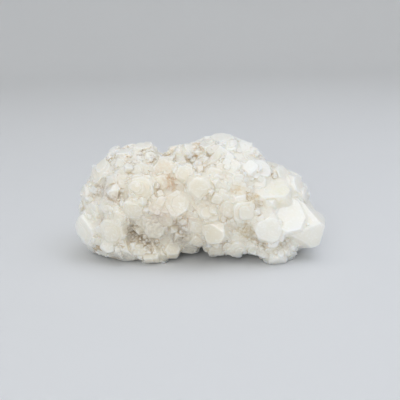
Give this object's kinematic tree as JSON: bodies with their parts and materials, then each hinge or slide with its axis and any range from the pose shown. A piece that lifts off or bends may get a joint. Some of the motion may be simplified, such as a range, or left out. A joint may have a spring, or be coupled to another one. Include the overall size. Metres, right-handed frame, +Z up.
{
  "type": "apophyllite cluster",
  "caption": "Free-standing cluster of blocky, milky white apophyllite crystals grown together, with low humps, stained crevices and rough feet that it rests on.",
  "frame": {"origin": "on the surface that the cluster stands on, under the middle of its bounding box", "axes": "+Z up, +X along the cluster to the viewer's right when the crystal face is in front, -Y out of the crystal face"},
  "size_m": [0.1152, 0.0644, 0.0549],
  "materials": {
    "apophyllite": "milky white crystal with a pearly lustre, cream and tan in the crevices"
  },
  "bodies": {
    "root": {"apophyllite_cluster": "apophyllite"}
  },
  "joints": []
}
